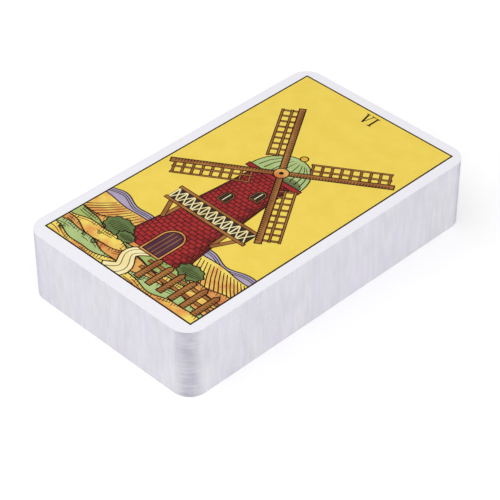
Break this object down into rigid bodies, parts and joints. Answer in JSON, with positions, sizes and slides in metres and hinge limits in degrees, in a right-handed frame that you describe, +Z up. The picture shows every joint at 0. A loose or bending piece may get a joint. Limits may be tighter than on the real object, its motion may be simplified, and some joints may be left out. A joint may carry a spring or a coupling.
{
  "type": "tarot card deck",
  "caption": "Squared stack of rounded-corner tarot cards, face up: the cards fan about a corner, the deck lifts at a cut, a card pulls out and the top card turns over.",
  "frame": {"origin": "centre of the underside of the bottom card", "axes": "+Y along the cards towards the top edge of their pictures, +X to the right of the upright pictures, +Z up through the stack"},
  "size_m": [0.07, 0.12, 0.0244],
  "materials": {
    "card_stock": "satin coated paperboard, printed on both faces"
  },
  "bodies": {
    "five_of_batons": {"five_of_batons": "card_stock"},
    "four_of_batons": {"four_of_batons": "card_stock"},
    "two_and_three_of_batons": {"two_and_three_of_batons": "card_stock"},
    "ace_of_batons": {"ace_of_batons": "card_stock"},
    "world_card": {"world_card": "card_stock"},
    "judgement_card": {"judgement_card": "card_stock"},
    "sun_card": {"sun_card": "card_stock"},
    "moon_card": {"moon_card": "card_stock"},
    "star_card": {"star_card": "card_stock"},
    "tower_card": {"tower_card": "card_stock"},
    "devil_card": {"devil_card": "card_stock"},
    "temperance_card": {"temperance_card": "card_stock"},
    "death_card": {"death_card": "card_stock"},
    "hanged_man_card": {"hanged_man_card": "card_stock"},
    "justice_card": {"justice_card": "card_stock"},
    "wheel_of_fortune_card": {"wheel_of_fortune_card": "card_stock"},
    "hermit_card": {"hermit_card": "card_stock"},
    "strength_card": {"strength_card": "card_stock"},
    "chariot_card": {"chariot_card": "card_stock"},
    "lovers_card": {"lovers_card": "card_stock"},
    "hierophant_card": {"hierophant_card": "card_stock"},
    "emperor_card": {"emperor_card": "card_stock"},
    "empress_card": {"empress_card": "card_stock"},
    "high_priestess_card": {"high_priestess_card": "card_stock"},
    "magician_card": {"magician_card": "card_stock"},
    "fool_card": {"fool_card": "card_stock"},
    "king_of_coins": {"king_of_coins": "card_stock"},
    "queen_of_coins": {"queen_of_coins": "card_stock"},
    "knight_of_coins": {"knight_of_coins": "card_stock"},
    "page_of_coins": {"page_of_coins": "card_stock"},
    "eight_nine_and_ten_of_coins": {"eight_nine_and_ten_of_coins": "card_stock"},
    "six_and_seven_of_coins": {"six_and_seven_of_coins": "card_stock"},
    "four_and_five_of_coins": {"four_and_five_of_coins": "card_stock"},
    "two_and_three_of_coins": {"two_and_three_of_coins": "card_stock"},
    "ace_of_coins": {"ace_of_coins": "card_stock"},
    "king_of_swords": {"king_of_swords": "card_stock"},
    "queen_of_swords": {"queen_of_swords": "card_stock"},
    "knight_of_swords": {"knight_of_swords": "card_stock"},
    "page_of_swords": {"page_of_swords": "card_stock"},
    "eight_nine_and_ten_of_swords": {"eight_nine_and_ten_of_swords": "card_stock"},
    "six_and_seven_of_swords": {"six_and_seven_of_swords": "card_stock"},
    "four_and_five_of_swords": {"four_and_five_of_swords": "card_stock"},
    "two_and_three_of_swords": {"two_and_three_of_swords": "card_stock"},
    "ace_of_swords": {"ace_of_swords": "card_stock"},
    "king_of_cups": {"king_of_cups": "card_stock"},
    "queen_of_cups": {"queen_of_cups": "card_stock"},
    "knight_of_cups": {"knight_of_cups": "card_stock"},
    "page_of_cups": {"page_of_cups": "card_stock"},
    "eight_nine_and_ten_of_cups": {"eight_nine_and_ten_of_cups": "card_stock"},
    "six_and_seven_of_cups": {"six_and_seven_of_cups": "card_stock"},
    "four_and_five_of_cups": {"four_and_five_of_cups": "card_stock"},
    "two_and_three_of_cups": {"two_and_three_of_cups": "card_stock"},
    "ace_of_cups": {"ace_of_cups": "card_stock"},
    "king_of_batons": {"king_of_batons": "card_stock"},
    "queen_of_batons": {"queen_of_batons": "card_stock"},
    "knight_of_batons": {"knight_of_batons": "card_stock"},
    "page_of_batons": {"page_of_batons": "card_stock"},
    "nine_and_ten_of_batons": {"nine_and_ten_of_batons": "card_stock"},
    "seven_and_eight_of_batons": {"seven_and_eight_of_batons": "card_stock"},
    "six_of_batons": {"six_of_batons": "card_stock"}
  },
  "joints": [
    {"name": "fan_four_of_batons", "type": "hinge", "parent": "five_of_batons", "child": "four_of_batons", "pos_m": [-0.02865, -0.05365, 0], "axis": [0, 0, -1], "range_deg": [-1, 3]},
    {"name": "fan_two_and_three_of_batons", "type": "hinge", "parent": "five_of_batons", "child": "two_and_three_of_batons", "pos_m": [-0.02865, -0.05365, 0], "axis": [0, 0, -1], "range_deg": [-1, 5]},
    {"name": "fan_ace_of_batons", "type": "hinge", "parent": "five_of_batons", "child": "ace_of_batons", "pos_m": [-0.02865, -0.05365, 0], "axis": [0, 0, -1], "range_deg": [-1, 7]},
    {"name": "fan_world_card", "type": "hinge", "parent": "five_of_batons", "child": "world_card", "pos_m": [-0.02865, -0.05365, 0], "axis": [0, 0, -1], "range_deg": [-1, 9]},
    {"name": "fan_judgement_card", "type": "hinge", "parent": "five_of_batons", "child": "judgement_card", "pos_m": [-0.02865, -0.05365, 0], "axis": [0, 0, -1], "range_deg": [-1, 11]},
    {"name": "fan_sun_card", "type": "hinge", "parent": "five_of_batons", "child": "sun_card", "pos_m": [-0.02865, -0.05365, 0], "axis": [0, 0, -1], "range_deg": [-1, 13]},
    {"name": "fan_moon_card", "type": "hinge", "parent": "five_of_batons", "child": "moon_card", "pos_m": [-0.02865, -0.05365, 0], "axis": [0, 0, -1], "range_deg": [-1, 15]},
    {"name": "fan_star_card", "type": "hinge", "parent": "five_of_batons", "child": "star_card", "pos_m": [-0.02865, -0.05365, 0], "axis": [0, 0, -1], "range_deg": [-1, 17]},
    {"name": "fan_tower_card", "type": "hinge", "parent": "five_of_batons", "child": "tower_card", "pos_m": [-0.02865, -0.05365, 0], "axis": [0, 0, -1], "range_deg": [-1, 19]},
    {"name": "fan_devil_card", "type": "hinge", "parent": "five_of_batons", "child": "devil_card", "pos_m": [-0.02865, -0.05365, 0], "axis": [0, 0, -1], "range_deg": [-1, 21]},
    {"name": "fan_temperance_card", "type": "hinge", "parent": "five_of_batons", "child": "temperance_card", "pos_m": [-0.02865, -0.05365, 0], "axis": [0, 0, -1], "range_deg": [-1, 23]},
    {"name": "fan_death_card", "type": "hinge", "parent": "five_of_batons", "child": "death_card", "pos_m": [-0.02865, -0.05365, 0], "axis": [0, 0, -1], "range_deg": [-1, 25]},
    {"name": "fan_hanged_man_card", "type": "hinge", "parent": "five_of_batons", "child": "hanged_man_card", "pos_m": [-0.02865, -0.05365, 0], "axis": [0, 0, -1], "range_deg": [-1, 27]},
    {"name": "fan_justice_card", "type": "hinge", "parent": "five_of_batons", "child": "justice_card", "pos_m": [-0.02865, -0.05365, 0], "axis": [0, 0, -1], "range_deg": [-1, 29]},
    {"name": "fan_wheel_of_fortune_card", "type": "hinge", "parent": "five_of_batons", "child": "wheel_of_fortune_card", "pos_m": [-0.02865, -0.05365, 0], "axis": [0, 0, -1], "range_deg": [-1, 31]},
    {"name": "fan_hermit_card", "type": "hinge", "parent": "five_of_batons", "child": "hermit_card", "pos_m": [-0.02865, -0.05365, 0], "axis": [0, 0, -1], "range_deg": [-1, 33]},
    {"name": "fan_strength_card", "type": "hinge", "parent": "five_of_batons", "child": "strength_card", "pos_m": [-0.02865, -0.05365, 0], "axis": [0, 0, -1], "range_deg": [-1, 35]},
    {"name": "fan_chariot_card", "type": "hinge", "parent": "five_of_batons", "child": "chariot_card", "pos_m": [-0.02865, -0.05365, 0], "axis": [0, 0, -1], "range_deg": [-1, 37]},
    {"name": "fan_lovers_card", "type": "hinge", "parent": "five_of_batons", "child": "lovers_card", "pos_m": [-0.02865, -0.05365, 0], "axis": [0, 0, -1], "range_deg": [-1, 39]},
    {"name": "fan_hierophant_card", "type": "hinge", "parent": "five_of_batons", "child": "hierophant_card", "pos_m": [-0.02865, -0.05365, 0], "axis": [0, 0, -1], "range_deg": [-1, 41]},
    {"name": "fan_emperor_card", "type": "hinge", "parent": "five_of_batons", "child": "emperor_card", "pos_m": [-0.02865, -0.05365, 0], "axis": [0, 0, -1], "range_deg": [-1, 43]},
    {"name": "fan_empress_card", "type": "hinge", "parent": "five_of_batons", "child": "empress_card", "pos_m": [-0.02865, -0.05365, 0], "axis": [0, 0, -1], "range_deg": [-1, 45]},
    {"name": "fan_high_priestess_card", "type": "hinge", "parent": "five_of_batons", "child": "high_priestess_card", "pos_m": [-0.02865, -0.05365, 0], "axis": [0, 0, -1], "range_deg": [-1, 47]},
    {"name": "fan_magician_card", "type": "hinge", "parent": "five_of_batons", "child": "magician_card", "pos_m": [-0.02865, -0.05365, 0], "axis": [0, 0, -1], "range_deg": [-1, 49]},
    {"name": "fan_fool_card", "type": "hinge", "parent": "five_of_batons", "child": "fool_card", "pos_m": [-0.02865, -0.05365, 0], "axis": [0, 0, -1], "range_deg": [-1, 51]},
    {"name": "fan_king_of_coins", "type": "hinge", "parent": "five_of_batons", "child": "king_of_coins", "pos_m": [-0.02865, -0.05365, 0], "axis": [0, 0, -1], "range_deg": [-1, 53]},
    {"name": "fan_queen_of_coins", "type": "hinge", "parent": "five_of_batons", "child": "queen_of_coins", "pos_m": [-0.02865, -0.05365, 0], "axis": [0, 0, -1], "range_deg": [-1, 55]},
    {"name": "fan_knight_of_coins", "type": "hinge", "parent": "five_of_batons", "child": "knight_of_coins", "pos_m": [-0.02865, -0.05365, 0], "axis": [0, 0, -1], "range_deg": [-1, 57]},
    {"name": "fan_page_of_coins", "type": "hinge", "parent": "five_of_batons", "child": "page_of_coins", "pos_m": [-0.02865, -0.05365, 0], "axis": [0, 0, -1], "range_deg": [-1, 59]},
    {"name": "fan_eight_nine_and_ten_of_coins", "type": "hinge", "parent": "five_of_batons", "child": "eight_nine_and_ten_of_coins", "pos_m": [-0.02865, -0.05365, 0], "axis": [0, 0, -1], "range_deg": [-1, 61]},
    {"name": "fan_six_and_seven_of_coins", "type": "hinge", "parent": "five_of_batons", "child": "six_and_seven_of_coins", "pos_m": [-0.02865, -0.05365, 0], "axis": [0, 0, -1], "range_deg": [-1, 63]},
    {"name": "fan_four_and_five_of_coins", "type": "hinge", "parent": "five_of_batons", "child": "four_and_five_of_coins", "pos_m": [-0.02865, -0.05365, 0], "axis": [0, 0, -1], "range_deg": [-1, 65]},
    {"name": "fan_two_and_three_of_coins", "type": "hinge", "parent": "five_of_batons", "child": "two_and_three_of_coins", "pos_m": [-0.02865, -0.05365, 0], "axis": [0, 0, -1], "range_deg": [-1, 67]},
    {"name": "fan", "type": "hinge", "parent": "five_of_batons", "child": "ace_of_coins", "pos_m": [-0.02865, -0.05365, 0], "axis": [0, 0, -1], "range_deg": [0, 68]},
    {"name": "cut", "type": "slide", "parent": "ace_of_coins", "child": "king_of_swords", "axis": [0, 0, 1], "range_m": [0, 0.06]},
    {"name": "fan_queen_of_swords", "type": "hinge", "parent": "king_of_swords", "child": "queen_of_swords", "pos_m": [-0.02865, -0.05365, 0], "axis": [0, 0, -1], "range_deg": [-1, 3]},
    {"name": "fan_knight_of_swords", "type": "hinge", "parent": "king_of_swords", "child": "knight_of_swords", "pos_m": [-0.02865, -0.05365, 0], "axis": [0, 0, -1], "range_deg": [-1, 5]},
    {"name": "fan_page_of_swords", "type": "hinge", "parent": "king_of_swords", "child": "page_of_swords", "pos_m": [-0.02865, -0.05365, 0], "axis": [0, 0, -1], "range_deg": [-1, 7]},
    {"name": "fan_eight_nine_and_ten_of_swords", "type": "hinge", "parent": "king_of_swords", "child": "eight_nine_and_ten_of_swords", "pos_m": [-0.02865, -0.05365, 0], "axis": [0, 0, -1], "range_deg": [-1, 9]},
    {"name": "fan_six_and_seven_of_swords", "type": "hinge", "parent": "king_of_swords", "child": "six_and_seven_of_swords", "pos_m": [-0.02865, -0.05365, 0], "axis": [0, 0, -1], "range_deg": [-1, 11]},
    {"name": "fan_four_and_five_of_swords", "type": "hinge", "parent": "king_of_swords", "child": "four_and_five_of_swords", "pos_m": [-0.02865, -0.05365, 0], "axis": [0, 0, -1], "range_deg": [-1, 13]},
    {"name": "fan_two_and_three_of_swords", "type": "hinge", "parent": "king_of_swords", "child": "two_and_three_of_swords", "pos_m": [-0.02865, -0.05365, 0], "axis": [0, 0, -1], "range_deg": [-1, 15]},
    {"name": "fan_ace_of_swords", "type": "hinge", "parent": "king_of_swords", "child": "ace_of_swords", "pos_m": [-0.02865, -0.05365, 0], "axis": [0, 0, -1], "range_deg": [-1, 17]},
    {"name": "fan_king_of_cups", "type": "hinge", "parent": "king_of_swords", "child": "king_of_cups", "pos_m": [-0.02865, -0.05365, 0], "axis": [0, 0, -1], "range_deg": [-1, 19]},
    {"name": "fan_queen_of_cups", "type": "hinge", "parent": "king_of_swords", "child": "queen_of_cups", "pos_m": [-0.02865, -0.05365, 0], "axis": [0, 0, -1], "range_deg": [-1, 21]},
    {"name": "fan_knight_of_cups", "type": "hinge", "parent": "king_of_swords", "child": "knight_of_cups", "pos_m": [-0.02865, -0.05365, 0], "axis": [0, 0, -1], "range_deg": [-1, 23]},
    {"name": "fan_page_of_cups", "type": "hinge", "parent": "king_of_swords", "child": "page_of_cups", "pos_m": [-0.02865, -0.05365, 0], "axis": [0, 0, -1], "range_deg": [-1, 25]},
    {"name": "fan_eight_nine_and_ten_of_cups", "type": "hinge", "parent": "king_of_swords", "child": "eight_nine_and_ten_of_cups", "pos_m": [-0.02865, -0.05365, 0], "axis": [0, 0, -1], "range_deg": [-1, 27]},
    {"name": "fan_six_and_seven_of_cups", "type": "hinge", "parent": "king_of_swords", "child": "six_and_seven_of_cups", "pos_m": [-0.02865, -0.05365, 0], "axis": [0, 0, -1], "range_deg": [-1, 29]},
    {"name": "fan_four_and_five_of_cups", "type": "hinge", "parent": "king_of_swords", "child": "four_and_five_of_cups", "pos_m": [-0.02865, -0.05365, 0], "axis": [0, 0, -1], "range_deg": [-1, 31]},
    {"name": "fan_two_and_three_of_cups", "type": "hinge", "parent": "king_of_swords", "child": "two_and_three_of_cups", "pos_m": [-0.02865, -0.05365, 0], "axis": [0, 0, -1], "range_deg": [-1, 33]},
    {"name": "pull", "type": "slide", "parent": "two_and_three_of_cups", "child": "ace_of_cups", "axis": [0, 1, 0], "range_m": [0, 0.07]},
    {"name": "fan_king_of_batons", "type": "hinge", "parent": "king_of_swords", "child": "king_of_batons", "pos_m": [-0.02865, -0.05365, 0], "axis": [0, 0, -1], "range_deg": [-1, 37]},
    {"name": "fan_queen_of_batons", "type": "hinge", "parent": "king_of_swords", "child": "queen_of_batons", "pos_m": [-0.02865, -0.05365, 0], "axis": [0, 0, -1], "range_deg": [-1, 39]},
    {"name": "fan_knight_of_batons", "type": "hinge", "parent": "king_of_swords", "child": "knight_of_batons", "pos_m": [-0.02865, -0.05365, 0], "axis": [0, 0, -1], "range_deg": [-1, 41]},
    {"name": "fan_page_of_batons", "type": "hinge", "parent": "king_of_swords", "child": "page_of_batons", "pos_m": [-0.02865, -0.05365, 0], "axis": [0, 0, -1], "range_deg": [-1, 43]},
    {"name": "fan_nine_and_ten_of_batons", "type": "hinge", "parent": "king_of_swords", "child": "nine_and_ten_of_batons", "pos_m": [-0.02865, -0.05365, 0], "axis": [0, 0, -1], "range_deg": [-1, 45]},
    {"name": "fan_seven_and_eight_of_batons", "type": "hinge", "parent": "king_of_swords", "child": "seven_and_eight_of_batons", "pos_m": [-0.02865, -0.05365, 0], "axis": [0, 0, -1], "range_deg": [-1, 47]},
    {"name": "turn", "type": "hinge", "parent": "seven_and_eight_of_batons", "child": "six_of_batons", "pos_m": [0.0351, 0, 0.02406], "axis": [0, 1, 0], "range_deg": [0, 180]}
  ],
  "couplings": [
    {"joint": "fan_four_of_batons", "follows": "fan", "ratio": 0.029412},
    {"joint": "fan_two_and_three_of_batons", "follows": "fan", "ratio": 0.058824},
    {"joint": "fan_ace_of_batons", "follows": "fan", "ratio": 0.088235},
    {"joint": "fan_world_card", "follows": "fan", "ratio": 0.11765},
    {"joint": "fan_judgement_card", "follows": "fan", "ratio": 0.14706},
    {"joint": "fan_sun_card", "follows": "fan", "ratio": 0.17647},
    {"joint": "fan_moon_card", "follows": "fan", "ratio": 0.20588},
    {"joint": "fan_star_card", "follows": "fan", "ratio": 0.23529},
    {"joint": "fan_tower_card", "follows": "fan", "ratio": 0.26471},
    {"joint": "fan_devil_card", "follows": "fan", "ratio": 0.29412},
    {"joint": "fan_temperance_card", "follows": "fan", "ratio": 0.32353},
    {"joint": "fan_death_card", "follows": "fan", "ratio": 0.35294},
    {"joint": "fan_hanged_man_card", "follows": "fan", "ratio": 0.38235},
    {"joint": "fan_justice_card", "follows": "fan", "ratio": 0.41176},
    {"joint": "fan_wheel_of_fortune_card", "follows": "fan", "ratio": 0.44118},
    {"joint": "fan_hermit_card", "follows": "fan", "ratio": 0.47059},
    {"joint": "fan_strength_card", "follows": "fan", "ratio": 0.5},
    {"joint": "fan_chariot_card", "follows": "fan", "ratio": 0.52941},
    {"joint": "fan_lovers_card", "follows": "fan", "ratio": 0.55882},
    {"joint": "fan_hierophant_card", "follows": "fan", "ratio": 0.58824},
    {"joint": "fan_emperor_card", "follows": "fan", "ratio": 0.61765},
    {"joint": "fan_empress_card", "follows": "fan", "ratio": 0.64706},
    {"joint": "fan_high_priestess_card", "follows": "fan", "ratio": 0.67647},
    {"joint": "fan_magician_card", "follows": "fan", "ratio": 0.70588},
    {"joint": "fan_fool_card", "follows": "fan", "ratio": 0.73529},
    {"joint": "fan_king_of_coins", "follows": "fan", "ratio": 0.76471},
    {"joint": "fan_queen_of_coins", "follows": "fan", "ratio": 0.79412},
    {"joint": "fan_knight_of_coins", "follows": "fan", "ratio": 0.82353},
    {"joint": "fan_page_of_coins", "follows": "fan", "ratio": 0.85294},
    {"joint": "fan_eight_nine_and_ten_of_coins", "follows": "fan", "ratio": 0.88235},
    {"joint": "fan_six_and_seven_of_coins", "follows": "fan", "ratio": 0.91176},
    {"joint": "fan_four_and_five_of_coins", "follows": "fan", "ratio": 0.94118},
    {"joint": "fan_two_and_three_of_coins", "follows": "fan", "ratio": 0.97059},
    {"joint": "fan_queen_of_swords", "follows": "fan", "ratio": 0.029412},
    {"joint": "fan_knight_of_swords", "follows": "fan", "ratio": 0.058824},
    {"joint": "fan_page_of_swords", "follows": "fan", "ratio": 0.088235},
    {"joint": "fan_eight_nine_and_ten_of_swords", "follows": "fan", "ratio": 0.11765},
    {"joint": "fan_six_and_seven_of_swords", "follows": "fan", "ratio": 0.14706},
    {"joint": "fan_four_and_five_of_swords", "follows": "fan", "ratio": 0.17647},
    {"joint": "fan_two_and_three_of_swords", "follows": "fan", "ratio": 0.20588},
    {"joint": "fan_ace_of_swords", "follows": "fan", "ratio": 0.23529},
    {"joint": "fan_king_of_cups", "follows": "fan", "ratio": 0.26471},
    {"joint": "fan_queen_of_cups", "follows": "fan", "ratio": 0.29412},
    {"joint": "fan_knight_of_cups", "follows": "fan", "ratio": 0.32353},
    {"joint": "fan_page_of_cups", "follows": "fan", "ratio": 0.35294},
    {"joint": "fan_eight_nine_and_ten_of_cups", "follows": "fan", "ratio": 0.38235},
    {"joint": "fan_six_and_seven_of_cups", "follows": "fan", "ratio": 0.41176},
    {"joint": "fan_four_and_five_of_cups", "follows": "fan", "ratio": 0.44118},
    {"joint": "fan_two_and_three_of_cups", "follows": "fan", "ratio": 0.47059},
    {"joint": "fan_king_of_batons", "follows": "fan", "ratio": 0.52941},
    {"joint": "fan_queen_of_batons", "follows": "fan", "ratio": 0.55882},
    {"joint": "fan_knight_of_batons", "follows": "fan", "ratio": 0.58824},
    {"joint": "fan_page_of_batons", "follows": "fan", "ratio": 0.61765},
    {"joint": "fan_nine_and_ten_of_batons", "follows": "fan", "ratio": 0.64706},
    {"joint": "fan_seven_and_eight_of_batons", "follows": "fan", "ratio": 0.67647}
  ]
}
